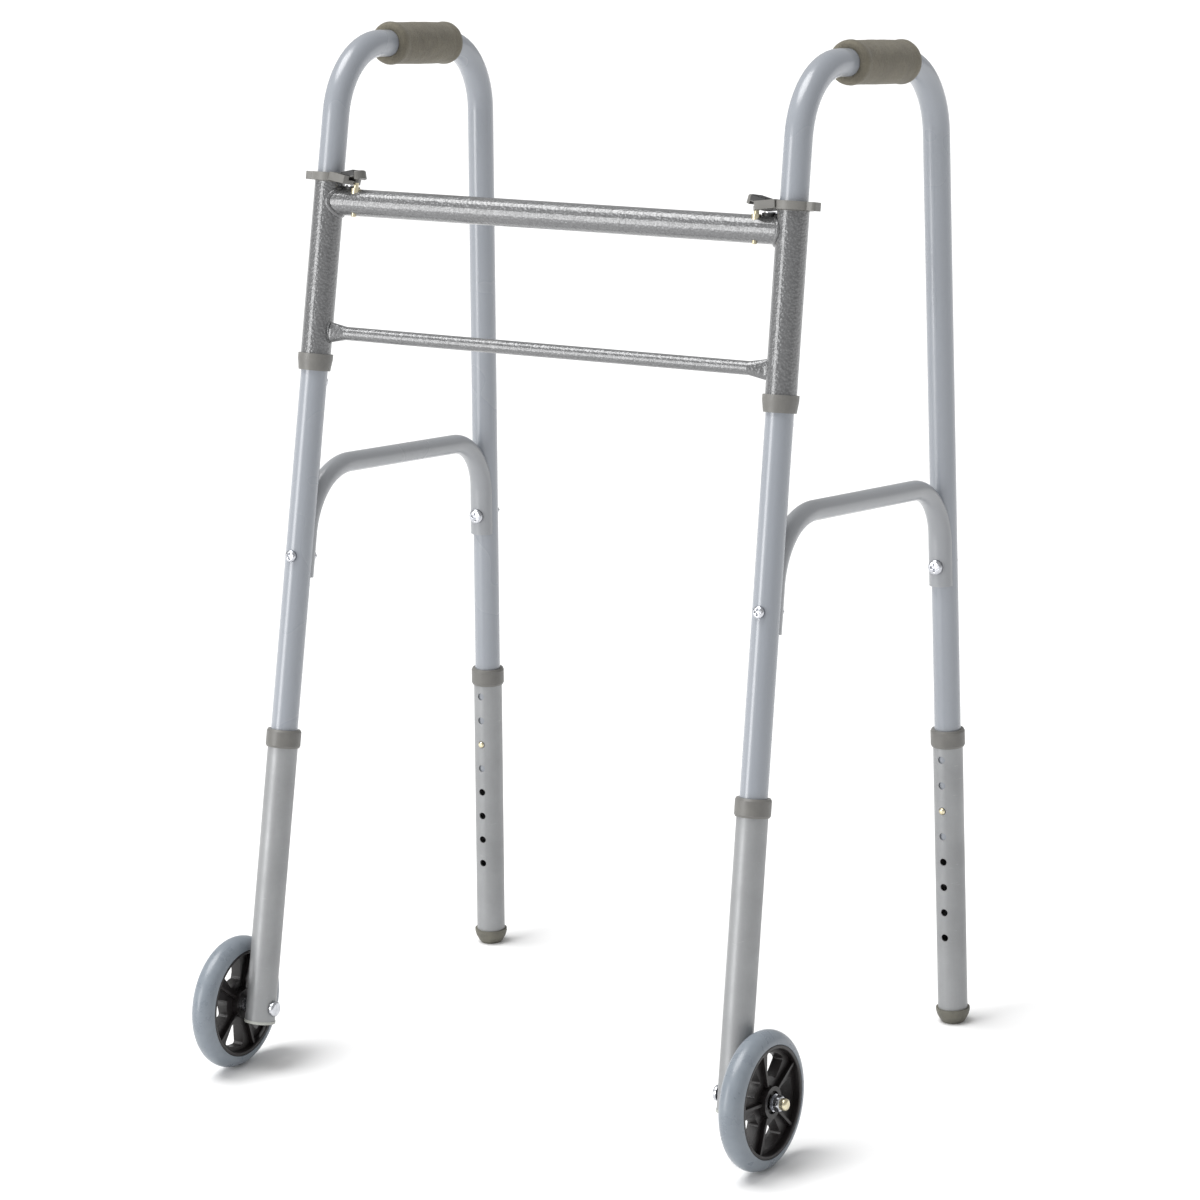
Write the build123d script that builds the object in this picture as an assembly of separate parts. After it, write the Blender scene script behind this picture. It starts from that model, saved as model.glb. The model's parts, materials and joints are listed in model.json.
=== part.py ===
from build123d import *
from math import atan2, cos, degrees, pi, sin, tan
import os

# A folding walking frame with two front wheels, in millimetres.
# X points right as seen from the front, Y to the rear and Z up.
# The half on the right is modelled, then mirrored for the left.

# Where the frame stands
FRONT_Y = -32.9
BAR_HEIGHT = 813.1
HALF_WIDTH = 247.1
REAR_HALF_WIDTH = 251.7
LEG_SPACING = 271.4
FRONT_SPLAY = 0.0145
FRONT_RAKE = 0.207
REAR_SPLAY = 0.0199
REAR_RAKE = 0.014

# Tubes
TUBE_RADIUS = 12.7
TUBE_WALL = 1.4
SLEEVE_RADIUS = 14.3
SLEEVE_BORE = 13.1
LEG_RADIUS = 14.3
RUNNING_BORE = 12.78
BAR_RADIUS = 12.7
LOWER_BAR_RADIUS = 6.35
BRACE_RADIUS = 9.5
BRACE_WALL = 1.3

# Side tube and brace
GRIP_CENTRE_REAR = 130.5
GRIP_CENTRE_UP = 159.3
TOP_BEND = 72.0
GRIP_LENGTH = 106.0
GRIP_RADIUS = 20.0
BRACE_DROP = 238.5
BRACE_MIDDLE = 140.0
BRACE_FRONT_BEND = 72.0
BRACE_REAR_BEND = 57.0
BRACE_OFFSET = 8.0
SADDLE_HALF_WIDTH = 11.6
SADDLE_BELOW = 19.5

# Heights above the floor
SLEEVE_BOTTOM = 673.1
SLEEVE_COLLAR_BOTTOM = 657.6
LOWER_BAR_HEIGHT = 693.5
STOP_SCREW_HEIGHT = 647.3
FRONT_BOLT_HEIGHT = 485.6
REAR_BOLT_HEIGHT = 455.7
FRONT_LEG_TOP = 324.3
FRONT_LEG_BOTTOM = 51.0
REAR_LEG_TOP = 294.1
REAR_LEG_BOTTOM = 14.5
FIRST_HOLE_BELOW_TOP = 28.2
AXLE_HEIGHT = 63.6
COLLAR_RADIUS = 16.5
COLLAR_HEIGHT = 17.0

# Height adjustment
HOLE_PITCH = 25.4
HOLE_COUNT = 8
HOLE_IN_USE = 2
HOLE_RADIUS = 3.6
BUTTON_RADIUS = 3.2
TUBE_BELOW_BUTTON = 36.0

# Fold lock, measured from the front leg axis at the crossbar
SLEEVE_TOP = 17.8
WASHER_TOP = 18.5
RING_BOTTOM = 18.7
RING_TOP = 26.3
RING_RADIUS = 18.0
TAB_REACH = 24.5
ARM_DROOP = 8.0
PIN_IN = 33.5
PIN_FORWARD = 6.5
PIN_RADIUS = 2.3
PIN_TOP = 18.7
PIN_BOTTOM = -13.0
PADDLE_PIVOT_IN = 20.5
PADDLE_PIVOT_UP = 22.5
PADDLE_TILT = 14.0
PADDLE_PRESS = 13.5

# Wheels
TYRE_RADIUS = 63.5
RIM_RADIUS = 51.5
RIM_WALL = 3.6
WHEEL_WIDTH = 23.8
WHEEL_OFFSET = 29.0
WHEEL_TURNS = {"right": 22, "left": -7}
HUB_RADIUS = 14.5
AXLE_RADIUS = 4.0

front_head = Vector(HALF_WIDTH, FRONT_Y, BAR_HEIGHT)
front_up = Vector(-FRONT_SPLAY, FRONT_RAKE, 1).normalized()
rear_head = Vector(REAR_HALF_WIDTH, FRONT_Y + LEG_SPACING, BAR_HEIGHT)
rear_up = Vector(-REAR_SPLAY, REAR_RAKE, 1).normalized()

# The side frame lies in the plane of the front leg and the middle of the rear leg.
to_rear = rear_head - rear_up * (BAR_HEIGHT / 2) - front_head
rearward = (to_rear - front_up * to_rear.dot(front_up)).normalized()
outward = rearward.cross(front_up)
side = Plane(origin=front_head, x_dir=outward, z_dir=front_up)
rear_top = side.to_local_coords(rear_head)
rear_foot = side.to_local_coords(rear_head - rear_up * BAR_HEIGHT)
rear_angle = atan2(rear_foot.Y - rear_top.Y, rear_top.Z - rear_foot.Z)
rear = Pos(0, rear_top.Y, rear_top.Z) * Rot(degrees(rear_angle), 0, 0)


def front_at(height):
    """Distance along the front leg of a height above the floor."""
    return (height - BAR_HEIGHT) / front_up.Z


def rear_at(height):
    """Distance along the rear leg of a height above the floor."""
    return (height - BAR_HEIGHT) / rear_up.Z


def rod(radius, low, high):
    """A solid round bar along a leg, from low to high."""
    return Pos(0, 0, (low + high) / 2) * Cylinder(radius, high - low)


def pipe(outer, inner, low, high):
    """A hollow round bar along a leg, from low to high."""
    return rod(outer, low, high) - rod(inner, low - 1, high + 1)


def crosswise(radius, start, end, up=0.0):
    """A round bar from front to rear through a leg."""
    return Pos(0, (start + end) / 2, up) * Rot(90, 0, 0) * Cylinder(radius, end - start)


def sideways(radius, start, end, rearwards=0.0, up=0.0):
    """A round bar from inside to outside through a leg."""
    return Pos((start + end) / 2, rearwards, up) * Rot(0, 90, 0) * Cylinder(radius, end - start)


def turned(*points):
    """A solid turned from a profile of (radius, height) points."""
    return revolve(Plane.XZ * make_face(Polyline(*points, close=True)), Axis.Z)


def swept(path, radius):
    """A round bar that follows a path."""
    start = Plane(origin=path @ 0, z_dir=path % 0)
    return sweep(start * Circle(radius), path=path)


# Lines of the side frame, as (rearward, up) points in its own plane
rear_slope = tan(rear_angle)
top_slope = tan(rear_angle / 2)


def beside_rear_leg(across, along):
    """A point given from the rear leg axis, as (rearward, up) in the side frame."""
    rearwards = rear_top.Y + across * cos(rear_angle) - along * sin(rear_angle)
    up = rear_top.Z + across * sin(rear_angle) + along * cos(rear_angle)
    return rearwards, up


def meet_rear_leg(rearwards, up, offset=0.0):
    """Where a cross line through a point meets the line at an offset from the rear leg."""
    leg_rearwards, leg_up = beside_rear_leg(offset, 0)
    start = leg_rearwards + (leg_up - up) * rear_slope
    reach = (start - rearwards) / (1 + top_slope * rear_slope)
    return rearwards + reach, up + top_slope * reach


front_leg_top = front_at(FRONT_LEG_TOP)
rear_leg_top = rear_at(REAR_LEG_TOP)
front_button = front_leg_top - FIRST_HOLE_BELOW_TOP - HOLE_IN_USE * HOLE_PITCH
rear_button = rear_leg_top - FIRST_HOLE_BELOW_TOP - HOLE_IN_USE * HOLE_PITCH
front_bolt = front_at(FRONT_BOLT_HEIGHT)
rear_bolt = rear_at(REAR_BOLT_HEIGHT)
stop_screw_up = front_at(STOP_SCREW_HEIGHT)
axle_up = front_at(AXLE_HEIGHT)

# Side tube: one bent tube makes the front leg, the hand rail and the rear leg
top_front = (0, GRIP_CENTRE_UP - top_slope * GRIP_CENTRE_REAR)
top_rear = meet_rear_leg(*top_front)
tube_ends = (
    (0, front_button - TUBE_BELOW_BUTTON),
    beside_rear_leg(0, rear_button - TUBE_BELOW_BUTTON),
)
tube_path = Plane.YZ * FilletPolyline(tube_ends[0], top_front, top_rear, tube_ends[1], radius=TOP_BEND)
side_tube = swept(tube_path, TUBE_RADIUS) - swept(tube_path, TUBE_RADIUS - TUBE_WALL)
side_tube -= crosswise(3.4, 5, 20, front_button)
side_tube -= rear * crosswise(3.4, -20, -5, rear_button)
side_tube -= crosswise(3.1, -20, 20, front_bolt)
side_tube -= rear * crosswise(3.1, -20, 20, rear_bolt)
side_tube -= crosswise(2.5, 5, 20, stop_screw_up)

# Hand grip
grip_place = Pos(0, GRIP_CENTRE_REAR, GRIP_CENTRE_UP) * Rot(degrees(rear_angle / 2) - 90, 0, 0)
half_grip = GRIP_LENGTH / 2
handgrip = grip_place * turned(
    (TUBE_RADIUS, 10 - half_grip),
    (TUBE_RADIUS + 0.6, -half_grip),
    (GRIP_RADIUS - 2, -half_grip),
    (GRIP_RADIUS + 0.6, -half_grip + 2.5),
    (GRIP_RADIUS + 0.6, -half_grip + 6.5),
    (GRIP_RADIUS - 0.6, -half_grip + 10),
    (GRIP_RADIUS - 0.2, 0),
    (GRIP_RADIUS - 0.6, half_grip - 10),
    (GRIP_RADIUS + 0.6, half_grip - 6.5),
    (GRIP_RADIUS + 0.6, half_grip - 2.5),
    (GRIP_RADIUS - 2, half_grip),
    (TUBE_RADIUS + 0.6, half_grip),
    (TUBE_RADIUS, half_grip - 10),
)

# Side brace: a smaller bent tube, pressed in its bends into saddles that hug the legs
brace_front = (BRACE_OFFSET, top_slope * (BRACE_OFFSET - BRACE_MIDDLE) - BRACE_DROP)
brace_rear = meet_rear_leg(*brace_front, -BRACE_OFFSET)
rear_corner = Plane(rear).to_local_coords(Vector(0, *brace_rear))
bend_reach = tan((pi - rear_angle) / 4)
brace_low_front = brace_front[1] - BRACE_FRONT_BEND * bend_reach - 1
brace_low_rear = rear_corner.Z - BRACE_REAR_BEND * bend_reach - 1
brace_line = Plane.YZ * FilletPolyline(
    (BRACE_OFFSET, brace_low_front),
    brace_front,
    brace_rear,
    beside_rear_leg(-BRACE_OFFSET, brace_low_rear),
    radius=(BRACE_FRONT_BEND, BRACE_REAR_BEND),
)
low_front, front_arc, brace_run, rear_arc, low_rear = brace_line.edges()
round_part = Wire([front_arc.trim(0.6, 1), brace_run, rear_arc.trim(0, 0.4)])


def across_line(line, place):
    """A plane across a line of the side frame, with X to the outside."""
    return Plane(origin=line @ place, x_dir=(1, 0, 0), z_dir=line % place)


def pressed_bend(line, flat_end):
    """The part of a bend that changes from a round tube to a wider, pressed one."""
    outlines = [Circle(BRACE_RADIUS), Circle(BRACE_RADIUS)]
    outlines[flat_end] = Ellipse(SADDLE_HALF_WIDTH, BRACE_RADIUS)
    sections = [across_line(line, end) * outlines[end] for end in (0, 1)]
    return sweep(sections, path=line, multisection=True)


def brace_saddle(bolt, low, facing):
    """The pressed straight end of the brace; facing is the side of the leg that it hugs."""
    outline = Pos(0, facing * BRACE_OFFSET) * Ellipse(SADDLE_HALF_WIDTH, BRACE_RADIUS)
    return Pos(0, 0, bolt - SADDLE_BELOW) * extrude(outline, low + 1 - bolt + SADDLE_BELOW)


def brace_room(bolt):
    """The leg and the bolt hole that a brace end leaves free."""
    return rod(TUBE_RADIUS, bolt - 60, bolt + 160) + crosswise(3.1, -24, 24, bolt)


side_brace = swept(round_part, BRACE_RADIUS) - swept(round_part, BRACE_RADIUS - BRACE_WALL)
side_brace += pressed_bend(front_arc.trim(0, 0.6), 0)
side_brace += pressed_bend(rear_arc.trim(0.4, 1), 1)
side_brace += brace_saddle(front_bolt, brace_low_front, 1)
side_brace += rear * brace_saddle(rear_bolt, brace_low_rear, -1)
side_brace -= brace_room(front_bolt)
side_brace -= rear * brace_room(rear_bolt)
saddle_reach = BRACE_OFFSET + BRACE_RADIUS


def cross_bolt(up, surface, nut_surface, head_radius):
    """A bolt from the front through a leg, its head shaped to the round surface."""
    head = crosswise(head_radius, -surface - 4, -surface + 4, up)
    head = fillet(head.edges().group_by(Axis.Y)[0], 2.4)
    head -= rod(surface, up - 20, up + 20)
    return head + crosswise(3, -surface - 1, nut_surface + 6, up)


def cross_nut(up, surface):
    """A hexagon nut on the rear of a leg, seated on the round surface."""
    blank = extrude(RegularPolygon(5, 6, major_radius=False), 7)
    blank = Pos(0, surface + 5, up) * Rot(90, 0, 0) * blank
    return blank - rod(surface, up - 20, up + 20) - crosswise(3, 0, surface + 9, up)


brace_bolts = Compound(
    children=[
        cross_bolt(front_bolt, TUBE_RADIUS, saddle_reach, 5.6),
        rear * cross_bolt(rear_bolt, saddle_reach, TUBE_RADIUS, 7.2),
    ]
)
brace_nuts = Compound(
    children=[cross_nut(front_bolt, saddle_reach), rear * cross_nut(rear_bolt, TUBE_RADIUS)]
)

# Stop screw under the sleeve, so that the side frame can't be pulled up
stop_screw = crosswise(6, 8, TUBE_RADIUS + 5, stop_screw_up)
stop_screw = fillet(stop_screw.edges().group_by(Axis.Y)[-1], 2.4)
stop_screw -= rod(TUBE_RADIUS, stop_screw_up - 10, stop_screw_up + 10)
stop_screw += crosswise(2.45, 6, TUBE_RADIUS + 1, stop_screw_up)

# Sleeve of the front frame, in which the side frame turns
sleeve_low = front_at(SLEEVE_BOTTOM)
collar_low = front_at(SLEEVE_COLLAR_BOTTOM)
sleeve = pipe(SLEEVE_RADIUS, SLEEVE_BORE, sleeve_low, SLEEVE_TOP)
thrust_washer = pipe(SLEEVE_RADIUS, RUNNING_BORE, SLEEVE_TOP, WASHER_TOP)
lower_collar = turned(
    (RUNNING_BORE, sleeve_low),
    (COLLAR_RADIUS, sleeve_low),
    (COLLAR_RADIUS, sleeve_low - 5),
    (COLLAR_RADIUS - 1.5, collar_low),
    (RUNNING_BORE, collar_low),
)

# Lock ring on the side tube, with a tab outwards and an arm inwards that the lock pin stops
ring_height = RING_TOP - RING_BOTTOM
tab = Pos(TAB_REACH / 2, 0) * RectangleRounded(TAB_REACH, 14, 3)
lock_ring = extrude(Circle(RING_RADIUS) + tab, ring_height)
arm_outline = make_face(
    Polyline((-9, -17.5), (-27.6, -20.3), (-33.6, -12.2), (-31, 8), (-9, 15.5), close=True)
)
pin_way = Circle(45) - Circle(29.3)
pin_way &= Rot(0, 0, 19.5) * Pos(-40, 40) * Rectangle(80, 80)
arm = extrude(arm_outline - pin_way, ring_height)
arm = Pos(-15, 0, 0) * Rot(0, -ARM_DROOP, 0) * Pos(15, 0, 0) * arm
arm -= rod(RING_RADIUS - 1, -20, 0)
pocket = Rot(0, PADDLE_TILT - PADDLE_PRESS, 0) * Pos(-7, 0, 7.6) * Box(20, 19.4, 20)
arm -= Pos(-PADDLE_PIVOT_IN, -PIN_FORWARD, PADDLE_PIVOT_UP - RING_BOTTOM) * pocket
lug = Pos(-PADDLE_PIVOT_IN, 0, 2.9) * Box(6, 2.3, 7)
lug_places = (-PIN_FORWARD - 10.6, -PIN_FORWARD + 10.6)
lugs = [Pos(0, place, 0) * lug for place in lug_places]
lock_ring = Pos(0, 0, RING_BOTTOM) * (lock_ring + arm + lugs)
lock_ring -= rod(TUBE_RADIUS, 0, 60)
paddle_pin_length = lug_places[1] - lug_places[0] + 3.4
pivot_place = Pos(-PADDLE_PIVOT_IN, -PIN_FORWARD, PADDLE_PIVOT_UP)
paddle_pin = pivot_place * crosswise(1.5, -paddle_pin_length / 2, paddle_pin_length / 2)
lock_ring -= paddle_pin

# Release paddle above the arm, with a peg that presses on the lock pin
paddle_plan = Pos(-6, 0) * Rectangle(14, 18) + Pos(-13, 0) * Circle(9)
paddle_lip = paddle_plan & Pos(-25.5, 0) * Rectangle(20, 20)
paddle = Pos(0, 0, -1.6) * extrude(paddle_plan, 5)
paddle = chamfer(paddle.edges().group_by(Axis.Z)[-1], 1)
paddle += Pos(0, 0, -4.6) * extrude(paddle_lip, 3.2)
paddle = pivot_place * Rot(0, PADDLE_TILT, 0) * (paddle + crosswise(2.3, -9, 9))
peg_top = PADDLE_PIVOT_UP + 4.2
paddle += Pos(-PIN_IN, -PIN_FORWARD, 0) * rod(1.8, PIN_TOP + 0.5, peg_top)
paddle -= pivot_place * crosswise(1.55, -20, 20)

# Lock pin through the crossbar, with the spring that holds it up
pin_place = Pos(-PIN_IN, -PIN_FORWARD, 0)
lock_pin = rod(PIN_RADIUS, PIN_BOTTOM, PIN_TOP) + rod(3.1, 1.6, 2.8)
lock_pin = pin_place * chamfer(lock_pin.edges().group_by(Axis.Z)[0], 0.6)
spring_line = Helix(1.5, 5.4, 2.75)
spring_wire = Plane(origin=spring_line @ 0, z_dir=spring_line % 0) * Circle(0.3)
lock_spring = pin_place * Pos(0, 0, -4.3) * sweep(spring_wire, path=spring_line)
bar_place = Pos(0, FRONT_Y, BAR_HEIGHT) * Rot(0, 90, 0)
bar_solid = side.location.inverse() * bar_place * Cylinder(BAR_RADIUS, 2 * HALF_WIDTH)
pin_guide = rod(4.4, 6, 13.6) - Pos(PIN_IN, PIN_FORWARD, 0) * bar_solid
pin_guide = pin_place * (pin_guide + rod(3.6, 4.5, 13.6) - rod(PIN_RADIUS + 0.04, 0, 20))

# Pad on the crossbar that carries the arm, and the steel washer on it
arm_pad = Pos(-24.2, 1.5, 0) * (rod(7.3, 6, 15) - rod(2, 6, 16))
arm_pad -= bar_solid
arm_pad -= rod(SLEEVE_RADIUS, -20, 30)
pad_washer = Pos(-24.2, 1.5, 0) * rod(6, 15, 16.2)
pad_washer -= rod(SLEEVE_RADIUS, -20, 30)


def leg_tube(top, bottom, facing):
    """An adjustable leg tube with its row of holes towards the other leg."""
    leg = pipe(LEG_RADIUS, RUNNING_BORE, bottom, top - 3)
    for number in range(HOLE_COUNT):
        height = top - FIRST_HOLE_BELOW_TOP - number * HOLE_PITCH
        leg -= crosswise(HOLE_RADIUS, min(0, 20 * facing), max(0, 20 * facing), height)
    return leg


def leg_collar(top):
    """The plastic collar on top of an adjustable leg tube."""
    return turned(
        (RUNNING_BORE, top),
        (COLLAR_RADIUS - 1.1, top),
        (COLLAR_RADIUS, top - 2),
        (COLLAR_RADIUS, top - COLLAR_HEIGHT + 2),
        (COLLAR_RADIUS - 0.9, top - COLLAR_HEIGHT),
        (LEG_RADIUS, top - COLLAR_HEIGHT),
        (LEG_RADIUS, top - 3),
        (RUNNING_BORE, top - 3),
    )


def snap_button(height, facing):
    """The button that holds a leg at its height."""
    stud = rod(BUTTON_RADIUS, 9.75, 16.2)
    stud = fillet(stud.edges().group_by(Axis.Z)[-1], 2)
    stud += rod(3.8, 9.75, 10.4)
    return Pos(0, 0, height) * Rot(-90 * facing, 0, 0) * stud


def snap_spring(height):
    """The bent leaf inside the tube that pushes a button out."""
    leaves = [Pos(0, side_of * 9.3, 10) * Box(8, 0.8, 32) for side_of in (-1, 1)]
    bend = Pos(0, 0, 26) * Rot(0, 90, 0) * (Cylinder(9.7, 8) - Cylinder(8.9, 9))
    bend -= Pos(0, 0, 6) * Box(40, 40, 40)
    return Pos(0, 0, height) * (bend + leaves)


# Wheel leg
wheel_leg = leg_tube(front_leg_top, front_at(FRONT_LEG_BOTTOM), 1)
wheel_leg -= sideways(AXLE_RADIUS + 0.05, -20, 20, up=axle_up)
wheel_leg_collar = leg_collar(front_leg_top)
wheel_leg_low = front_at(FRONT_LEG_BOTTOM)
wheel_leg_plug = rod(14.9, wheel_leg_low - 2.8, wheel_leg_low)
wheel_leg_plug = fillet(wheel_leg_plug.edges().group_by(Axis.Z)[0], 1)
wheel_leg_plug += rod(12.7, wheel_leg_low - 1, wheel_leg_low + 5)

# Axle, as if its own line ran upwards from the middle of the leg
axle_place = Pos(0, 0, axle_up) * Rot(0, 90, 0)
wheel_inside = WHEEL_OFFSET - WHEEL_WIDTH / 2
wheel_outside = WHEEL_OFFSET + WHEEL_WIDTH / 2
axle_bolt = rod(7.5, -LEG_RADIUS - 4, -LEG_RADIUS)
axle_bolt = fillet(axle_bolt.edges().group_by(Axis.Z)[0], 2.6)
axle_bolt = axle_place * (axle_bolt + rod(AXLE_RADIUS, -LEG_RADIUS, wheel_outside + 12))
spacer = pipe(8, AXLE_RADIUS + 0.05, LEG_RADIUS, wheel_inside - 0.2)
outer_washer = pipe(8, AXLE_RADIUS + 0.05, wheel_outside + 0.2, wheel_outside + 1.8)
axle_washers = axle_place * Compound(children=[spacer, outer_washer])
axle_nut = Pos(0, 0, wheel_outside + 1.8) * extrude(RegularPolygon(6.5, 6, major_radius=False), 7)
nut_end = rod(5.6, wheel_outside + 8.8, wheel_outside + 15)
nut_end = fillet(nut_end.edges().group_by(Axis.Z)[-1], 3.4)
axle_nut = axle_place * (axle_nut + nut_end - rod(AXLE_RADIUS, 0, wheel_outside + 12))

# Wheel
wheel_place = Pos(WHEEL_OFFSET, 0, axle_up) * Rot(0, 90, 0)
half_width = WHEEL_WIDTH / 2
wheel_hub = pipe(RIM_RADIUS, RIM_RADIUS - RIM_WALL, -half_width, half_width)
wheel_hub = fillet(wheel_hub.edges().group_by(Axis.Z)[0] + wheel_hub.edges().group_by(Axis.Z)[-1], 1.2)
wheel_hub += pipe(RIM_RADIUS - RIM_WALL / 2, 8, -5.2, 5.2)
window = Circle(RIM_RADIUS - 8) - Circle(HUB_RADIUS + 8)
window &= Polygon((0, 0), (60, -22), (60, 22), align=None)
window = fillet(window.vertices(), 2.5)
rib_length = RIM_RADIUS - HUB_RADIUS - RIM_WALL / 2
for turn in range(5):
    wheel_hub -= Rot(0, 0, 72 * turn) * Pos(0, 0, -7) * extrude(window, 14)
    rib = Pos(HUB_RADIUS - 1 + rib_length / 2, 0, 0) * Box(rib_length, 2.6, WHEEL_WIDTH - 5)
    wheel_hub += Rot(0, 0, 72 * turn + 36) * rib
wheel_hub += rod(HUB_RADIUS, -half_width, half_width)
wheel_hub -= rod(10.5, half_width - 3, half_width + 1) - rod(6.6, 0, half_width + 1)
wheel_hub -= rod(AXLE_RADIUS + 0.06, -20, 20)
tyre_section = Pos(RIM_RADIUS, 0) * Ellipse(TYRE_RADIUS - RIM_RADIUS, half_width)
tyre_section &= Pos(RIM_RADIUS + 20, 0) * Rectangle(40, 40)
tyre = wheel_place * revolve(Plane.XZ * tyre_section, Axis.Z)

# Rear leg and its rubber tip
rear_leg_low = rear_at(REAR_LEG_BOTTOM)
floor = rear_at(0)
rear_leg = rear * leg_tube(rear_leg_top, rear_leg_low, -1)
rear_leg_collar = rear * leg_collar(rear_leg_top)
rear_tip = rear * turned(
    (0, floor - 1),
    (9.5, floor - 1),
    (12.2, floor + 2),
    (15.2, floor + 7.5),
    (16.4, floor + 12),
    (16.4, rear_leg_low),
    (12.7, rear_leg_low),
    (12.7, floor + 40),
    (9.5, floor + 40),
    (9.5, floor + 10),
    (0, floor + 10),
)
below_floor = Pos(0, 0, -50) * Box(2000, 2000, 100)
rear_tip -= side.location.inverse() * below_floor

half = {
    "side_tube": side_tube,
    "handgrip": handgrip,
    "side_brace": side_brace,
    "brace_bolts": brace_bolts,
    "brace_nuts": brace_nuts,
    "stop_screw": stop_screw,
    "sleeve": sleeve,
    "lock_ring": lock_ring,
    "paddle_pin": paddle_pin,
    "paddle": paddle,
    "lock_pin": lock_pin,
    "lock_spring": lock_spring,
    "front_snap_button": snap_button(front_button, 1),
    "rear_snap_button": rear * snap_button(rear_button, -1),
    "snap_springs": Compound(children=[snap_spring(front_button), rear * snap_spring(rear_button)]),
    "wheel_leg": wheel_leg,
    "wheel_leg_collar": wheel_leg_collar,
    "wheel_leg_plug": wheel_leg_plug,
    "axle_bolt": axle_bolt,
    "axle_washers": axle_washers,
    "axle_nut": axle_nut,
    "tyre": tyre,
    "rear_leg": rear_leg,
    "rear_leg_collar": rear_leg_collar,
    "rear_tip": rear_tip,
}
shared = {
    "thrust_washers": thrust_washer,
    "lower_collars": lower_collar,
    "pin_guides": pin_guide,
    "arm_pads": arm_pad,
    "pad_washers": pad_washer,
}


def both(shape):
    """A shape of the right-hand half in place, and its mirror image."""
    placed = side.location * shape
    return placed, mirror(placed, about=Plane.YZ)


# Crossbars between the sleeves
sleeve_space = both(rod(SLEEVE_RADIUS, -400, 100))
pin_space = both(pin_place * (rod(3.6, 0, 40) + rod(PIN_RADIUS + 0.05, -40, 1)))
upper_crossbar = bar_place * (
    Cylinder(BAR_RADIUS, 2 * HALF_WIDTH) - Cylinder(BAR_RADIUS - TUBE_WALL, 2 * HALF_WIDTH + 2)
)
lower_at = front_head + front_up * front_at(LOWER_BAR_HEIGHT)
lower_place = Plane(origin=(0, lower_at.Y, lower_at.Z), x_dir=side.y_dir, z_dir=(1, 0, 0))
lower_bar = Cylinder(LOWER_BAR_RADIUS, 2 * lower_at.X - 66)
flat_end = loft(
    [
        Pos(0, 0, lower_at.X - 33) * Circle(LOWER_BAR_RADIUS),
        Pos(0, 0, lower_at.X - 17) * Ellipse(3.4, 9.2),
        Pos(0, 0, lower_at.X) * Ellipse(3.4, 9.2),
    ],
    ruled=True,
)
lower_bar += [flat_end, mirror(flat_end, about=Plane.XY)]
lower_crossbar = lower_place.location * lower_bar
for space in sleeve_space:
    upper_crossbar -= space
    lower_crossbar -= space
for space in pin_space:
    upper_crossbar -= space


def export(shape, name):
    """Write one piece, or one group of separate pieces, to its file."""
    pieces = shape.solids()
    whole = pieces[0] if len(pieces) == 1 else Compound(children=pieces)
    export_step(whole, f"parts/{name}.step")


os.makedirs("parts", exist_ok=True)
export(upper_crossbar, "upper_crossbar")
export(lower_crossbar, "lower_crossbar")
for name, shape in shared.items():
    export(Compound(children=[*both(shape)[0].solids(), *both(shape)[1].solids()]), name)
for name, shape in half.items():
    right, left = both(shape)
    export(right, f"{name}_right")
    export(left, f"{name}_left")
for number, (name, turn) in enumerate(WHEEL_TURNS.items()):
    export(both(wheel_place * Rot(0, 0, turn) * wheel_hub)[number], f"wheel_hub_{name}")
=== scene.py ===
import json
from math import cos, pi, radians, sin, tau

import bmesh
import bpy
from mathutils import Matrix, Vector, noise


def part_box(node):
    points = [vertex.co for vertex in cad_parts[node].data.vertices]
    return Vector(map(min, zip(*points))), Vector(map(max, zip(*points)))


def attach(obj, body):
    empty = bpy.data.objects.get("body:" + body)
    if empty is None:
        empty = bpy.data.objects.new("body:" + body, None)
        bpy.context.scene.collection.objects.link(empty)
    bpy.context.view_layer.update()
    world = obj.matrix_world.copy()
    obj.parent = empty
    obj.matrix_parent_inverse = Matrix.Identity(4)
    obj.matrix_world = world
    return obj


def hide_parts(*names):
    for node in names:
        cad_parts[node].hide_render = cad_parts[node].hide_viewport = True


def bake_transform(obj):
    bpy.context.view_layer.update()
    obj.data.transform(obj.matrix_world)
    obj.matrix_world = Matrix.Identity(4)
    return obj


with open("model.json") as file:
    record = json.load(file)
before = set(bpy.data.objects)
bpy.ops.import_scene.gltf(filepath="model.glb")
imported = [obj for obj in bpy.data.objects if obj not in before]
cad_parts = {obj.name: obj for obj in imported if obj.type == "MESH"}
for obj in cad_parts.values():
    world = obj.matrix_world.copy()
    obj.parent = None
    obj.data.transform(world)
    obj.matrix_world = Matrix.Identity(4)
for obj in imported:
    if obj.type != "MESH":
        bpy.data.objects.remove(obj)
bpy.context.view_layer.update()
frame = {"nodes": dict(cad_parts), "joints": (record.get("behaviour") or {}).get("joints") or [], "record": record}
joints = {joint["name"]: joint for joint in frame["joints"]}
mirror_x = Matrix.Scale(-1, 4, (1, 0, 0))

SIDES = ("right", "left")

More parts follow.
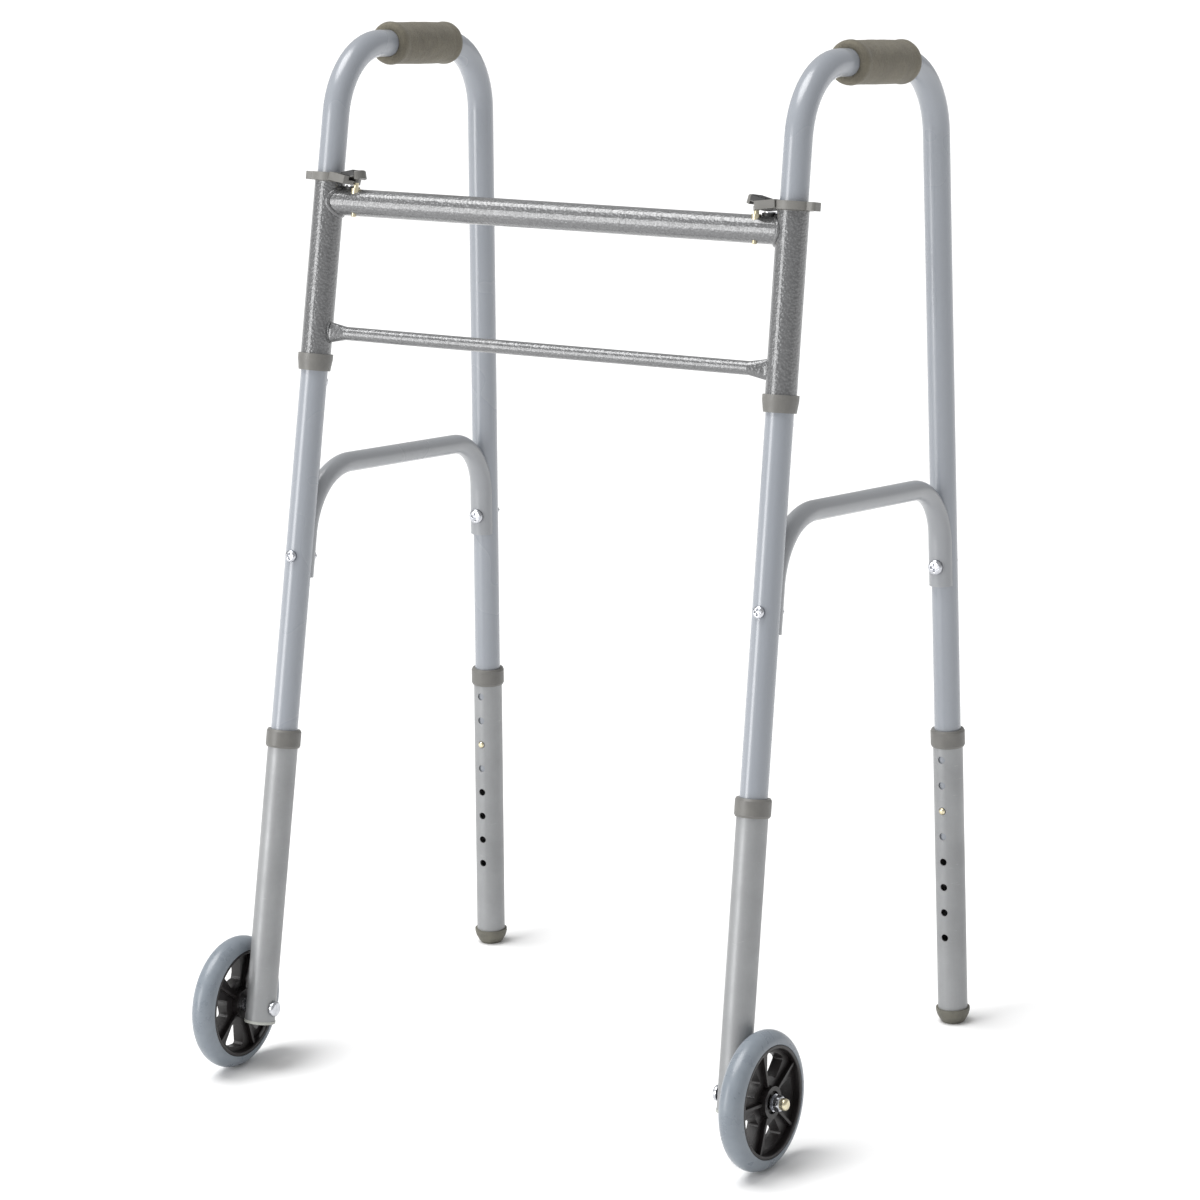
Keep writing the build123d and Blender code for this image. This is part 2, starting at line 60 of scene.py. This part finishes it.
# Sizes of the detailed pieces, in metres. Heights are above the floor.
# The recess's half width and reach are shares of the radius of the bolt's head.
GRIP_RADIUS = 0.0198
GRIP_SWELL = 0.0003
GRIP_BORE = 0.0126
GRIP_POINTS = 96
GRIP_STEPS = 40
BROAD_RIPPLE = 0.00022
FINE_RIPPLE = 0.00007
SLEEVE_RADIUS = 0.0143
UPPER_BAR_RADIUS = 0.0125
UPPER_BEAD = 0.0028
LOWER_BAR_HALF_DEPTH = 0.0034
LOWER_BAR_HALF_HEIGHT = 0.0092
LOWER_BAR_HEIGHT = 0.6935
LOWER_BEAD = 0.0012
BEAD_STEPS = 144
BEAD_POINTS = 10
BEAD_RIPPLES = 34
FRONT_BOLT_HEIGHT = 0.4856
REAR_BOLT_HEIGHT = 0.4557
REAR_FOOT = Vector((0.26721, 0.22713, 0))
HEAD_HEIGHT = 0.004
HEAD_CROWN = 0.0004
HEAD_ROUND = 0.0024
HEAD_SIDE = 0.002
HEAD_STEPS = 22
ROUND_STEPS = 8
RECESS_DEPTH = 0.0019
RECESS_HALF_WIDTH = 0.17
RECESS_REACH = 0.62
SHANK_RADIUS = 0.003
THREAD_LENGTH = 0.009
THREAD_PITCH = 0.0008
THREAD_ROOT = 0.00268
THREAD_CREST = 0.00298
BOLT_TIP_RADIUS = 0.0024
NUT_HALF_FLATS = 0.0065
DOME_CENTRE = 0.0022
DOME_SEAT = 0.0525
DOME_ROUND = 0.0034
DOME_STEPS = 10
TURNED_POINTS = 72
PADDLE_SLOPE = radians(14)
RIDGES = 8
RIDGE_PITCH = 0.0018
RIDGE_TOP = 0.0047
PAD_LENGTH = 0.0155
PAD_TOP = 0.0034
PAD_FOOT = -0.0009


# Places on the right-hand half; the left is its mirror image
def frame_at(origin, outward, up):
    """A matrix with X outwards, Y to the rear and Z up along a leg."""
    outward = (outward - up * outward.dot(up)).normalized()
    rearward = up.cross(outward)
    place = Matrix((outward, rearward, up)).transposed().to_4x4()
    place.translation = origin
    return place


leg_up = Vector(joints["fold_right"]["axis"]).normalized()
rear_up = -Vector(joints["rear_leg_height_right"]["axis"]).normalized()
leg_out = Vector(joints["wheel_spin_right"]["axis"]).normalized()
leg_head = Vector(joints["fold_right"]["pos_m"])
leg = frame_at(leg_head, leg_out, leg_up)


# Materials
def material(name):
    """A new material with its shader and the object's own coordinates."""
    made = bpy.data.materials.new(name)
    made.use_nodes = True
    nodes = made.node_tree.nodes
    shader = nodes["Principled BSDF"]
    place = nodes.new("ShaderNodeTexCoord").outputs["Object"]
    return made, shader, place


def stretched(tree, place, scale):
    """Coordinates scaled differently along each axis."""
    mapping = tree.nodes.new("ShaderNodeMapping")
    mapping.inputs["Scale"].default_value = scale
    tree.links.new(place, mapping.inputs["Vector"])
    return mapping.outputs["Vector"]


def noise_value(tree, place, scale, detail, roughness=0.55):
    """Noise between about 0 and 1."""
    texture = tree.nodes.new("ShaderNodeTexNoise")
    texture.inputs["Scale"].default_value = scale
    texture.inputs["Detail"].default_value = detail
    texture.inputs["Roughness"].default_value = roughness
    tree.links.new(place, texture.inputs["Vector"])
    return texture.outputs["Fac"]


def cell_value(tree, place, scale):
    """Distance to the nearest of many scattered points, without sharp ridges between them."""
    texture = tree.nodes.new("ShaderNodeTexVoronoi")
    texture.feature = "SMOOTH_F1"
    texture.inputs["Scale"].default_value = scale
    tree.links.new(place, texture.inputs["Vector"])
    return texture.outputs["Distance"]


def ramp(tree, value, low, high, start, end):
    """Maps a value between low and high to a number between start and end."""
    node = tree.nodes.new("ShaderNodeMapRange")
    node.inputs["From Min"].default_value = low
    node.inputs["From Max"].default_value = high
    node.inputs["To Min"].default_value = start
    node.inputs["To Max"].default_value = end
    tree.links.new(value, node.inputs["Value"])
    return node.outputs["Result"]


def blend_colours(tree, value, first, second):
    """A colour between two, by a value from 0 to 1. Each colour is a triple or a socket."""
    node = tree.nodes.new("ShaderNodeMix")
    node.data_type = "RGBA"
    tree.links.new(value, node.inputs["Factor"])
    for socket, colour in ((node.inputs["A"], first), (node.inputs["B"], second)):
        if isinstance(colour, tuple):
            socket.default_value = (*colour, 1)
        else:
            tree.links.new(colour, socket)
    return node.outputs["Result"]


def scaled(colour, factor, lift=0.0):
    """A colour made brighter or darker."""
    return tuple(min(1.0, channel * factor + lift) for channel in colour)


def bumped(tree, shader, layers):
    """Adds layers of relief, each (height socket, depth in metres)."""
    normal = None
    for height, depth in layers:
        node = tree.nodes.new("ShaderNodeBump")
        node.inputs["Strength"].default_value = 1
        node.inputs["Distance"].default_value = depth
        tree.links.new(height, node.inputs["Height"])
        if normal:
            tree.links.new(normal, node.inputs["Normal"])
        normal = node.outputs["Normal"]
    tree.links.new(normal, shader.inputs["Normal"])


def smooth_paint(name, light, dark, rough, coat):
    """Powder paint: faint mottling, pale specks and fine orange peel."""
    made, shader, place = material(name)
    tree = made.node_tree
    mottle = noise_value(tree, place, 7, 2)
    fine = noise_value(tree, place, 900, 2)
    mixed = blend_colours(tree, ramp(tree, mottle, 0.2, 0.8, 0, 1), dark, light)
    speck = ramp(tree, noise_value(tree, place, 2600, 1), 0.62, 0.72, 0, 0.16)
    mixed = blend_colours(tree, speck, mixed, scaled(light, 1.5))
    tree.links.new(mixed, shader.inputs["Base Color"])
    gloss = ramp(tree, mottle, 0.3, 0.7, rough - 0.04, rough + 0.06)
    tree.links.new(gloss, shader.inputs["Roughness"])
    shader.inputs["Coat Weight"].default_value = coat
    shader.inputs["Coat Roughness"].default_value = 0.24
    bumped(tree, shader, [(noise_value(tree, place, 420, 2), 0.00005), (fine, 0.00002)])
    return made


def hammered_paint(name, light, dark):
    """Hammered enamel: shallow round dimples over a metallic speckle."""
    made, shader, place = material(name)
    tree = made.node_tree
    wobble = noise_value(tree, place, 230, 2)
    cells = cell_value(tree, place, 450)
    flakes = noise_value(tree, place, 1900, 2, 0.7)
    mixed = blend_colours(tree, ramp(tree, cells, 0.1, 0.75, 0, 1), light, dark)
    bright = ramp(tree, flakes, 0.6, 0.72, 0, 0.15)
    mixed = blend_colours(tree, bright, mixed, scaled(light, 2))
    mixed = blend_colours(tree, ramp(tree, wobble, 0.35, 0.7, 0, 0.2), mixed, dark)
    tree.links.new(mixed, shader.inputs["Base Color"])
    tree.links.new(ramp(tree, flakes, 0.3, 0.7, 0.22, 0.4), shader.inputs["Roughness"])
    shader.inputs["Metallic"].default_value = 0.3
    shader.inputs["Coat Weight"].default_value = 0.8
    shader.inputs["Coat Roughness"].default_value = 0.06
    bumped(tree, shader, [(cells, 0.0007), (wobble, 0.00015), (flakes, 0.00003)])
    return made


def drawn_metal(name, light, dark, rough):
    """Plain drawn tube: lines along its length, small scuffs and stains."""
    made, shader, place = material(name)
    tree = made.node_tree
    lines = noise_value(tree, stretched(tree, place, (900, 900, 14)), 1, 3)
    scuffs = noise_value(tree, stretched(tree, place, (60, 60, 700)), 1, 4, 0.7)
    stain = noise_value(tree, place, 24, 5, 0.65)
    mixed = blend_colours(tree, ramp(tree, stain, 0.35, 0.7, 0, 1), light, dark)
    mixed = blend_colours(tree, ramp(tree, lines, 0.4, 0.75, 0, 0.3), mixed, dark)
    mixed = blend_colours(tree, ramp(tree, scuffs, 0.66, 0.74, 0, 0.3), mixed, (0.62, 0.63, 0.65))
    tree.links.new(mixed, shader.inputs["Base Color"])
    gloss = ramp(tree, stain, 0.3, 0.7, rough - 0.06, rough + 0.08)
    tree.links.new(gloss, shader.inputs["Roughness"])
    shader.inputs["Metallic"].default_value = 0.35
    bumped(tree, shader, [(lines, 0.00003), (scuffs, 0.00002)])
    return made


def plated_metal(name, light, dark, rough):
    """Plated steel or brass: bright, with a fine grain and tarnish."""
    made, shader, place = material(name)
    tree = made.node_tree
    stain = noise_value(tree, place, 190, 4, 0.6)
    fine = noise_value(tree, place, 2400, 2)
    mixed = blend_colours(tree, ramp(tree, stain, 0.4, 0.7, 0, 1), light, dark)
    tree.links.new(mixed, shader.inputs["Base Color"])
    gloss = ramp(tree, stain, 0.3, 0.7, rough - 0.05, rough + 0.12)
    tree.links.new(gloss, shader.inputs["Roughness"])
    shader.inputs["Metallic"].default_value = 1
    bumped(tree, shader, [(fine, 0.000015), (stain, 0.00004)])
    return made


def moulded(name, light, dark, rough, grain, depth, spots=0.0, sheen=0.0, wear=0.3):
    """Moulded plastic or rubber: fine grain, cloudy colour, dark spots and paler rubbed edges."""
    made, shader, place = material(name)
    tree = made.node_tree
    cloud = noise_value(tree, place, 70, 4)
    skin_grain = noise_value(tree, place, grain, 4, 0.65)
    mixed = blend_colours(tree, ramp(tree, cloud, 0.35, 0.65, 0, 1), dark, light)
    if spots:
        speck = ramp(tree, noise_value(tree, place, grain * 1.7, 2, 0.8), 0.5, 0.72, 0, spots)
        mixed = blend_colours(tree, speck, mixed, scaled(dark, 0.45))
    sharpness = tree.nodes.new("ShaderNodeNewGeometry").outputs["Pointiness"]
    rubbed = ramp(tree, sharpness, 0.53, 0.64, 0, wear)
    mixed = blend_colours(tree, rubbed, mixed, scaled(light, 1.5, 0.02))
    tree.links.new(mixed, shader.inputs["Base Color"])
    gloss = ramp(tree, cloud, 0.3, 0.7, rough - 0.06, rough + 0.06)
    tree.links.new(gloss, shader.inputs["Roughness"])
    shader.inputs["Sheen Weight"].default_value = sheen
    bumped(tree, shader, [(skin_grain, depth), (cloud, depth * 2)])
    return made


looks = {
    "side_paint": smooth_paint(
        "side_paint", (0.28, 0.299, 0.33), (0.263, 0.281, 0.311), rough=0.24, coat=0.45
    ),
    "brace_paint": smooth_paint(
        "brace_paint", (0.282, 0.292, 0.308), (0.268, 0.277, 0.292), rough=0.3, coat=0.3
    ),
    "hammered_paint": hammered_paint(
        "hammered_paint", (0.166, 0.168, 0.171), (0.115, 0.116, 0.119)
    ),
    "leg_tube": drawn_metal(
        "leg_tube", (0.303, 0.309, 0.315), (0.267, 0.272, 0.277), rough=0.42
    ),
    "grey_plastic": moulded(
        "grey_plastic", (0.155, 0.151, 0.141), (0.129, 0.126, 0.118),
        rough=0.42, grain=900, depth=0.00006,
    ),
    "pale_plastic": moulded(
        "pale_plastic", (0.42, 0.43, 0.4), (0.36, 0.37, 0.34),
        rough=0.5, grain=900, depth=0.00005,
    ),
    "grip_foam": moulded(
        "grip_foam", (0.165, 0.15, 0.112), (0.13, 0.117, 0.087),
        rough=0.8, grain=620, depth=0.0006, spots=0.85, sheen=0.1,
    ),
    "tyre_rubber": moulded(
        "tyre_rubber", (0.205, 0.232, 0.262), (0.18, 0.205, 0.235),
        rough=0.3, grain=700, depth=0.00005, wear=0.0,
    ),
    "hub_plastic": moulded(
        "hub_plastic", (0.012, 0.0095, 0.0095), (0.008, 0.0065, 0.0065),
        rough=0.42, grain=1100, depth=0.00006,
    ),
    "tip_rubber": moulded(
        "tip_rubber", (0.14, 0.134, 0.108), (0.1, 0.096, 0.078),
        rough=0.6, grain=900, depth=0.0001,
    ),
    "pad_rubber": moulded(
        "pad_rubber", (0.012, 0.012, 0.012), (0.008, 0.008, 0.008),
        rough=0.45, grain=900, depth=0.00008,
    ),
    "zinc": plated_metal("zinc", (0.6, 0.61, 0.64), (0.44, 0.45, 0.48), rough=0.22),
    "brass": plated_metal("brass", (0.74, 0.68, 0.5), (0.58, 0.51, 0.34), rough=0.28),
}
slots = {part["node"]: part["material_slot"] for part in frame["record"]["subparts"]}
for node, cad_mesh in frame["nodes"].items():
    for material_slot in cad_mesh.material_slots:
        material_slot.material = looks[slots[node]]


# Detailed pieces
def loose_piece(name, shape, slot_name, smooth=True):
    """Turns a finished bmesh into an object."""
    mesh = bpy.data.meshes.new(name)
    shape.to_mesh(mesh)
    for polygon in mesh.polygons:
        polygon.use_smooth = smooth
    made = bpy.data.objects.new(name, mesh)
    bpy.context.scene.collection.objects.link(made)
    made.data.materials.append(looks[slot_name])
    return made


def both_sides(name, shape, body, slot_name, smooth=True, instead_of=None):
    """A piece on the right and its mirror image on the left, each riding on its body.

    A pair can stand for the CAD nodes of a part. The front frame is one body, the others are two.
    """
    pair = []
    for side in SIDES:
        made = loose_piece(f"{name}_{side}", shape, slot_name, smooth)
        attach(made, body if body == "front_frame" else f"{body}_{side}")
        if instead_of:
            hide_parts(f"{instead_of}_{side}")
        pair.append(made)
        shape.transform(mirror_x)
        bmesh.ops.reverse_faces(shape, faces=shape.faces)
    shape.free()
    return pair


def skin(rings, closed=False, capped=False):
    """A skin over equal rings of points.

    A closed one joins its last ring to its first; a capped one has a face over each end.
    """
    shape = bmesh.new()
    rows = [[shape.verts.new(point) for point in ring] for ring in rings]
    following = rows[1:] + rows[:1] if closed else rows[1:]
    for low, high in zip(rows, following):
        count = len(low)
        for at in range(count):
            ahead = (at + 1) % count
            shape.faces.new((low[at], low[ahead], high[ahead], high[at]))
    if capped:
        shape.faces.new(rows[0])
        shape.faces.new(rows[-1])
    bmesh.ops.recalc_face_normals(shape, faces=shape.faces)
    return shape


# Foam hand grips with swollen lips and a slightly uneven skin
def foam_ripple(turn, along):
    """Unevenness of the foam: broad waves with finer ones over them."""
    spot = Vector((cos(turn) * 2.2, sin(turn) * 2.2, along * 60))
    return noise.noise(spot) * BROAD_RIPPLE + noise.noise(spot * 5) * FINE_RIPPLE


low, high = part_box("handgrip_right")
grip_middle = (low + high) / 2
grip_line = (leg_up + rear_up).normalized().cross(leg_out).normalized()
grip_over = leg_out.cross(grip_line).normalized()
grip_side = grip_line.cross(grip_over)
grip_end = [
    (-0.0524, 0.0128), (-0.0529, 0.0150), (-0.0527, 0.0172), (-0.0518, 0.0189), (-0.0504, 0.0199),
    (-0.0486, 0.0204), (-0.0466, 0.0205), (-0.0445, 0.0203), (-0.0425, 0.0200), (-0.0408, 0.0198),
]
inner_end = grip_end[-1][0]
grip_profile = list(grip_end)
for at in range(1, GRIP_STEPS):
    along = inner_end * (1 - at / (GRIP_STEPS / 2))
    grip_profile.append((along, GRIP_RADIUS + GRIP_SWELL * sin(pi * at / GRIP_STEPS)))
grip_profile += [(-along, radius) for along, radius in reversed(grip_end)]
rings = []
for along, radius in grip_profile:
    centre = grip_middle + grip_line * along
    # The ripple fades out towards the bore, so the foam meets its tube evenly
    away_from_bore = min(1, (radius - GRIP_BORE) * 400)
    ring = []
    for at in range(GRIP_POINTS):
        turn = tau * at / GRIP_POINTS
        reach = radius + foam_ripple(turn, along) * away_from_bore
        ring.append(centre + (grip_side * cos(turn) + grip_over * sin(turn)) * reach)
    rings.append(ring)
shape = skin(rings)
for grip in both_sides("foam_grip", shape, "side_frame", "grip_foam", instead_of="handgrip"):
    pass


# Weld beads where the crossbars meet the sleeves
def bead(bar_half_depth, bar_half_height, along_leg, width):
    """A rippled bead along the seam of a sideways bar and the right-hand sleeve."""
    rings = []
    centre = leg_head + leg_up * along_leg
    inwards = Vector((-1, 0, 0))
    turns = [tau * at / BEAD_POINTS for at in range(BEAD_POINTS)]
    for at in range(BEAD_STEPS):
        turn = tau * at / BEAD_STEPS
        spot = centre + Vector((0, cos(turn) * bar_half_depth, sin(turn) * bar_half_height))
        local = leg.inverted() @ spot
        # The seam stays a little clear of the sleeve's very edge
        local.x = -((SLEEVE_RADIUS**2 - min(local.y**2, SLEEVE_RADIUS**2 * 0.93)) ** 0.5)
        seam = leg @ local
        away = Vector((0, cos(turn), sin(turn)))
        size = width * (1 + 0.02 * sin(turn * BEAD_RIPPLES) + 0.12 * noise.noise(seam * 200))
        rings.append([seam + (away * cos(t) + inwards * sin(t)) * size for t in turns])
    return skin(rings, closed=True)


shape = bead(UPPER_BAR_RADIUS, UPPER_BAR_RADIUS, 0, UPPER_BEAD)
both_sides("upper_weld", shape, "front_frame", "hammered_paint")
lower_bar = (LOWER_BAR_HEIGHT - leg_head.z) / leg_up.z
shape = bead(LOWER_BAR_HALF_DEPTH, LOWER_BAR_HALF_HEIGHT, lower_bar, LOWER_BEAD)
both_sides("lower_weld", shape, "front_frame", "hammered_paint")


# Bolts through the legs, with cross recesses in their heads and threads at their ends
def turned_piece(place, rings):
    """A skin turned round the Y axis of a place; each ring gives its radii and its depths."""
    turns = [tau * at / TURNED_POINTS for at in range(TURNED_POINTS)]
    turned = []
    for ring in rings:
        spots = [(r * cos(t), depth, r * sin(t)) for t, (r, depth) in zip(turns, ring)]
        turned.append([place @ Vector(spot) for spot in spots])
    return skin(turned, capped=True)


def recess(radius, turn, head):
    """Depth of a cross recess at a point of a bolt's head."""
    side_way = min(abs(cos(turn)), abs(sin(turn))) * radius
    in_slot = min(1, max(0, (head * RECESS_HALF_WIDTH - side_way) / 0.00025))
    in_reach = min(1, max(0, (head * RECESS_REACH - radius) / 0.0008))
    return RECESS_DEPTH * in_slot * in_reach


def bolt_rings(head, seat, tail):
    """Rings of a round-headed bolt that comes from the front; distances in metres."""
    top = -seat - HEAD_HEIGHT
    flat = head - HEAD_ROUND
    profile = []
    for at in range(HEAD_STEPS + 1):
        profile.append((0.00005 + flat * at / HEAD_STEPS, top + HEAD_CROWN * (at / HEAD_STEPS) ** 2))
    for at in range(1, ROUND_STEPS + 1):
        bend = pi / 2 * at / ROUND_STEPS
        profile.append((flat + HEAD_ROUND * sin(bend), top + HEAD_CROWN + HEAD_SIDE * (1 - cos(bend))))
    profile += [(head, -seat + 0.001), (SHANK_RADIUS, -seat + 0.0012)]
    turns = [tau * at / TURNED_POINTS for at in range(TURNED_POINTS)]
    rings = [[(radius, depth + recess(radius, t, head)) for t in turns] for radius, depth in profile]
    thread = tail - THREAD_LENGTH
    shank = [(SHANK_RADIUS, thread)]
    while thread < tail - THREAD_PITCH:
        shank.append((THREAD_ROOT, thread + 0.00035))
        shank.append((THREAD_CREST, thread + 0.0007))
        thread += THREAD_PITCH
    shank.append((BOLT_TIP_RADIUS, tail))
    return rings + [[spot] * TURNED_POINTS for spot in shank]


def on_line(start, up, height):
    """The point of a leg's line at a height above the floor."""
    return start + up * ((height - start.z) / up.z)


front_place = frame_at(on_line(leg_head, leg_up, FRONT_BOLT_HEIGHT), leg_out, leg_up)
rear_place = frame_at(on_line(REAR_FOOT, rear_up, REAR_BOLT_HEIGHT), leg_out, rear_up)
bolts = (
    ("front_bolt", front_place, bolt_rings(head=0.0056, seat=0.0127, tail=0.0235)),
    ("rear_bolt", rear_place, bolt_rings(head=0.0072, seat=0.0175, tail=0.0187)),
)
for name, place, rings in bolts:
    both_sides(name, turned_piece(place, rings), "side_frame", "zinc", instead_of="brace_bolts")

# Axle nuts: a plated hexagon with a brass dome
axle_place = Matrix.Translation(Vector(joints["wheel_spin_right"]["pos_m"]))
axle_place @= leg_out.to_track_quat("Y", "Z").to_matrix().to_4x4()
nut_profile = (
    (0.0041, 0.0427), (0.0060, 0.0427), (0.0066, 0.0431), (0.0076, 0.0438),
    (0.0076, 0.0487), (0.0066, 0.0494), (0.0060, 0.0497), (0.0041, 0.0497),
)
hexagon = []
for radius, depth in nut_profile:
    ring = []
    for at in range(TURNED_POINTS):
        flat = NUT_HALF_FLATS / cos((tau * at / TURNED_POINTS) % (pi / 3) - pi / 6)
        ring.append((min(radius, flat), depth))
    hexagon.append(ring)
dome_profile = [(0.0041, 0.0495), (0.0056, 0.0495), (0.0056, DOME_SEAT)]
for at in range(1, DOME_STEPS + 1):
    bend = pi / 2 * at / DOME_STEPS
    dome_profile.append((DOME_CENTRE + DOME_ROUND * cos(bend), DOME_SEAT + DOME_ROUND * sin(bend)))
dome_profile += [(0.001, 0.05595), (0.0001, 0.056)]
dome = [[spot] * TURNED_POINTS for spot in dome_profile]
for name, rings, slot_name in (("axle_hexagon", hexagon, "zinc"), ("axle_dome", dome, "brass")):
    both_sides(name, turned_piece(axle_place, rings), "wheel_leg", slot_name, instead_of="axle_nut")


# Springs that give way inside the tubes, copied as plain plated pieces
def flexing(name, node, front=None):
    """A plated copy of a spring in place of its CAD node; front picks the front or the rear half of a pair.
    """
    shape = bmesh.new()
    shape.from_mesh(frame["nodes"][node].data)
    if front is not None:
        other = [vert for vert in shape.verts if (vert.co.y < 0) != front]
        bmesh.ops.delete(shape, geom=other, context="VERTS")
    made = loose_piece(name, shape, "zinc")
    shape.free()
    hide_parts(node)
    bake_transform(made)


for side in SIDES:
    flexing(f"lock_coil_{side}", f"lock_spring_{side}")
    for end in ("front", "rear"):
        flexing(
            f"{end}_leaf_{side}", f"snap_springs_{side}",
            front=(end == "front"),
        )

# Ridges over the sloping part of each release paddle, coloured near-black with the pad rubber as painted shade
# between the ridges
paddle_at = Vector(joints["paddle_press_right"]["pos_m"])
paddle_turn = Vector(joints["paddle_press_right"]["axis"]).normalized()
paddle_up = (leg_up - paddle_turn * leg_up.dot(paddle_turn)).normalized()
paddle_out = paddle_turn.cross(paddle_up).normalized()
slope_out = paddle_out * cos(PADDLE_SLOPE) + paddle_up * sin(PADDLE_SLOPE)
slope_up = paddle_up * cos(PADDLE_SLOPE) - paddle_out * sin(PADDLE_SLOPE)
outline = [(0.0009, PAD_FOOT), (0.0009, PAD_TOP)]
for at in range(RIDGES):
    start = 0.0011 + RIDGE_PITCH * at
    outline += [(start, 0.0036), (start + 0.0004, 0.0046)]
    outline += [(start + 0.0010, RIDGE_TOP), (start + 0.0015, 0.0037)]
outline += [(PAD_LENGTH, PAD_TOP), (PAD_LENGTH, PAD_FOOT)]
rings = []
stations = ((-0.0091, 0.0004), (-0.0088, 0), (-0.003, 0), (0.003, 0), (0.0088, 0), (0.0091, 0.0004))
for along, inset in stations:
    centre = paddle_at + paddle_turn * along
    top = RIDGE_TOP - inset
    rings.append([centre + slope_out * x + slope_up * min(y, top) for x, y in outline])
# The ridges' near-black colour is painted shade, not a separate rubber pad
both_sides("paddle_ridges_painted_shade", skin(rings, capped=True), "paddle", "pad_rubber", smooth=False)

# Floor
shape = bmesh.new()
bmesh.ops.create_grid(shape, x_segments=1, y_segments=1, size=60)
floor_mesh = bpy.data.meshes.new("floor")
shape.to_mesh(floor_mesh)
shape.free()
floor = bpy.data.objects.new("floor", floor_mesh)
bpy.context.scene.collection.objects.link(floor)
floor_look, shader, place = material("floor_look")
tree = floor_look.node_tree
grain = noise_value(tree, place, 40, 3)
tree.links.new(ramp(tree, grain, 0.3, 0.7, 0.7, 0.76), shader.inputs["Roughness"])
floor_colour = blend_colours(tree, grain, (0.90, 0.90, 0.90), (0.905, 0.905, 0.905))
tree.links.new(floor_colour, shader.inputs["Base Color"])
shader.inputs["Specular IOR Level"].default_value = 0.1
floor.data.materials.append(floor_look)

# A white room that the camera sees brighter than the object does
world = bpy.data.worlds.new("studio")
world.use_nodes = True
backdrop = world.node_tree.nodes["Background"]
backdrop.inputs["Color"].default_value = (1, 1, 1, 1)
seen = world.node_tree.nodes.new("ShaderNodeLightPath").outputs["Is Camera Ray"]
glow = ramp(world.node_tree, seen, 0, 1, 0.5, 1.05)
world.node_tree.links.new(glow, backdrop.inputs["Strength"])
bpy.context.scene.world = world


# Light
def place_light(name, lamp, spot, aim):
    """Adds a light that faces a point."""
    made = bpy.data.objects.new(name, lamp)
    bpy.context.scene.collection.objects.link(made)
    made.location = spot
    made.rotation_mode = "QUATERNION"
    made.rotation_quaternion = (Vector(aim) - Vector(spot)).to_track_quat("-Z", "Y")


overhead = bpy.data.lights.new("overhead", "SUN")
overhead.energy = 2.9
overhead.angle = radians(42)
place_light("overhead", overhead, (-1.05, -0.75, 3.4), (0, 0, 0))
strip = bpy.data.lights.new("strip", "AREA")
strip.shape = "RECTANGLE"
strip.size = 1.3
strip.size_y = 2.2
strip.energy = 58
place_light("strip", strip, (-1.75, -3.1, 1.0), (0, 0, 0.6))

# Camera
view_turn = radians(31.69)
view_rise = radians(14.199)
view_roll = radians(-1.699)
back = Vector((sin(view_turn) * cos(view_rise), -cos(view_turn) * cos(view_rise), sin(view_rise)))
level = Vector((0, 0, 1)).cross(back).normalized()
upright = back.cross(level)
across = level * cos(view_roll) + upright * sin(view_roll)
upright = upright * cos(view_roll) - level * sin(view_roll)
camera_data = bpy.data.cameras.new("camera")
camera_data.lens = 123.73
camera_data.sensor_width = 36
camera_data.clip_end = 200
camera = bpy.data.objects.new("camera", camera_data)
bpy.context.scene.collection.objects.link(camera)
place = Matrix((across, upright, back)).transposed().to_4x4()
place.translation = (1.97527, -3.17023, 1.39088)
camera.matrix_world = place
bpy.context.scene.camera = camera

bpy.context.scene.view_settings.view_transform = "Standard"
bpy.context.scene.view_settings.look = "None"
